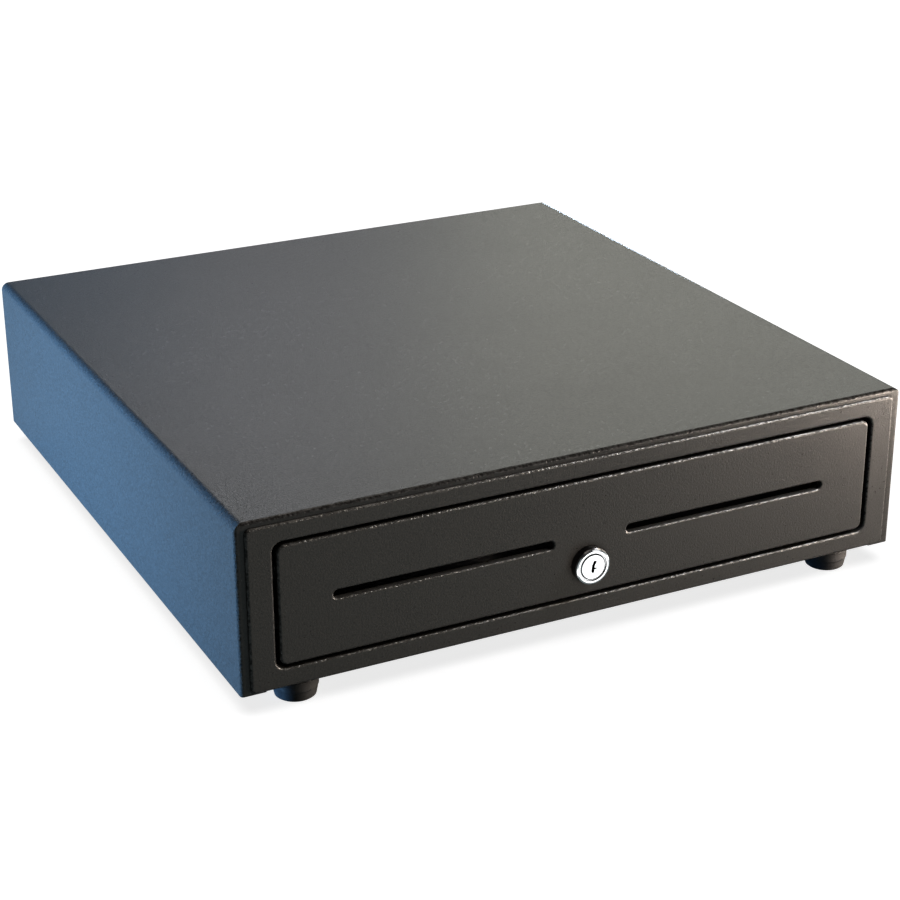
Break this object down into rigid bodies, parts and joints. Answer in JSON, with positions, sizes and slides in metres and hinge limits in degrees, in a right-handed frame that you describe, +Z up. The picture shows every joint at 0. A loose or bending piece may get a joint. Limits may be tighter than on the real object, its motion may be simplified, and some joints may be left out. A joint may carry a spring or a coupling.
{
  "type": "cash drawer",
  "caption": "Low black steel cash drawer on rubber feet, with a locking money drawer on ball slides, media slots and a till tray.",
  "frame": {"origin": "on the counter top, under the middle of the case. The lock head in front and the screw heads behind put the box's own middle 2.15 mm further forward", "axes": "+Z up; the drawer opens along -Y; +X to the right seen from the front's side"},
  "size_m": [0.41, 0.4277, 0.11],
  "materials": {
    "black_powder_coat": "fine sandy black powder coat, satin",
    "black_screw_steel": "black oxide",
    "zinc_steel": "bright zinc plate",
    "spring_steel": "drawn spring wire",
    "lock_chrome": "polished chrome",
    "foot_rubber": "moulded black rubber",
    "till_plastic": "black moulded plastic, lightly grained",
    "clip_plastic": "black moulded plastic",
    "coil_tape": "amber winding tape",
    "switch_plastic": "black switch housing",
    "cable_sheath": "black cable sheath"
  },
  "bodies": {
    "case": {"outer_cover": "black_powder_coat", "base_pan": "black_powder_coat", "rear_panel": "black_powder_coat", "front_bezel": "black_powder_coat", "rubber_feet": "foot_rubber", "foot_screws": "zinc_steel", "cover_screws": "black_screw_steel", "slide_bracket_left": "zinc_steel", "slide_bracket_right": "zinc_steel", "slide_outer_left": "zinc_steel", "slide_outer_right": "zinc_steel", "slide_rivets": "zinc_steel", "lock_keeper": "zinc_steel", "latch_bracket": "zinc_steel", "mechanism_screws": "zinc_steel", "solenoid_frame": "zinc_steel", "solenoid_coil": "coil_tape", "micro_switch": "switch_plastic", "latch_pivot_pin": "zinc_steel", "cable_socket": "switch_plastic", "latch_cable": "cable_sheath", "ejector_housing": "zinc_steel", "ejector_spring": "spring_steel"},
    "drawer": {"drawer_pan": "black_powder_coat", "drawer_front": "black_powder_coat", "drawer_front_nuts": "zinc_steel", "slide_inner_left": "zinc_steel", "slide_inner_right": "zinc_steel", "slide_screws": "zinc_steel", "lock_barrel": "lock_chrome", "lock_nut": "zinc_steel", "drawer_striker": "zinc_steel", "till_supports": "black_powder_coat", "till_tray": "till_plastic", "coin_tray": "till_plastic", "clip_rod": "zinc_steel", "clip_springs": "spring_steel"},
    "lock_core": {"lock_plug": "lock_chrome", "lock_cam": "zinc_steel", "cam_screw": "zinc_steel"},
    "clip_1": {"bill_clip_1": "clip_plastic"},
    "clip_2": {"bill_clip_2": "clip_plastic"},
    "clip_3": {"bill_clip_3": "clip_plastic"},
    "clip_4": {"bill_clip_4": "clip_plastic"},
    "clip_5": {"bill_clip_5": "clip_plastic"},
    "latch": {"latch_hook": "zinc_steel"},
    "plunger": {"solenoid_plunger": "zinc_steel", "plunger_spring": "spring_steel"},
    "switch_arm": {"switch_lever": "zinc_steel"},
    "slide_middles": {"slide_middle_left": "zinc_steel", "slide_middle_right": "zinc_steel"},
    "outer_ball_cages": {"slide_cage_outer_left": "zinc_steel", "slide_cage_outer_right": "zinc_steel", "slide_balls_outer": "zinc_steel"},
    "inner_ball_cages": {"slide_cage_inner_left": "zinc_steel", "slide_cage_inner_right": "zinc_steel", "slide_balls_inner": "zinc_steel"},
    "ejector": {"ejector_plunger": "clip_plastic"}
  },
  "joints": [
    {"name": "drawer_slide", "type": "slide", "parent": "case", "child": "drawer", "axis": [0, -1, 0], "range_m": [0, 0.3]},
    {"name": "middle_slide", "type": "slide", "parent": "case", "child": "slide_middles", "axis": [0, -1, 0], "range_m": [0, 0.15]},
    {"name": "outer_cage_slide", "type": "slide", "parent": "case", "child": "outer_ball_cages", "axis": [0, -1, 0], "range_m": [0, 0.075]},
    {"name": "inner_cage_slide", "type": "slide", "parent": "case", "child": "inner_ball_cages", "axis": [0, -1, 0], "range_m": [0, 0.225]},
    {"name": "lock_turn", "type": "hinge", "parent": "drawer", "child": "lock_core", "pos_m": [-0.0014, -0.2, 0.0445], "axis": [0, 1, 0], "range_deg": [0, 90]},
    {"name": "clip_1_swing", "type": "hinge", "parent": "drawer", "child": "clip_1", "pos_m": [-0.13608, 0.119, 0.081], "axis": [1, 0, 0], "range_deg": [-25, 6.5]},
    {"name": "clip_2_swing", "type": "hinge", "parent": "drawer", "child": "clip_2", "pos_m": [-0.06804, 0.119, 0.081], "axis": [1, 0, 0], "range_deg": [-25, 6.5]},
    {"name": "clip_3_swing", "type": "hinge", "parent": "drawer", "child": "clip_3", "pos_m": [0, 0.119, 0.081], "axis": [1, 0, 0], "range_deg": [-25, 6.5]},
    {"name": "clip_4_swing", "type": "hinge", "parent": "drawer", "child": "clip_4", "pos_m": [0.06804, 0.119, 0.081], "axis": [1, 0, 0], "range_deg": [-25, 6.5]},
    {"name": "clip_5_swing", "type": "hinge", "parent": "drawer", "child": "clip_5", "pos_m": [0.13608, 0.119, 0.081], "axis": [1, 0, 0], "range_deg": [-25, 6.5]},
    {"name": "latch_swing", "type": "hinge", "parent": "case", "child": "latch", "pos_m": [0, 0.176, 0.062], "axis": [1, 0, 0], "range_deg": [0, 12]},
    {"name": "plunger_slide", "type": "slide", "parent": "case", "child": "plunger", "axis": [0, 0, 1], "range_m": [0, 0.0034], "deforming": ["plunger_spring"]},
    {"name": "switch_swing", "type": "hinge", "parent": "case", "child": "switch_arm", "pos_m": [-0.047, 0.13565, 0.042], "axis": [1, 0, 0], "range_deg": [0, 10]},
    {"name": "ejector_slide", "type": "slide", "parent": "case", "child": "ejector", "axis": [0, -1, 0], "range_m": [0, 0.015]}
  ],
  "couplings": [
    {"joint": "middle_slide", "follows": "drawer_slide", "ratio": 0.5},
    {"joint": "outer_cage_slide", "follows": "drawer_slide", "ratio": 0.25},
    {"joint": "inner_cage_slide", "follows": "drawer_slide", "ratio": 0.75},
    {"joint": "switch_swing", "follows": "drawer_slide", "rad_per_m": 0.58},
    {"joint": "ejector_slide", "follows": "drawer_slide", "ratio": 0.05},
    {"joint": "plunger_slide", "follows": "latch_swing", "m_per_rad": 0.01597}
  ]
}
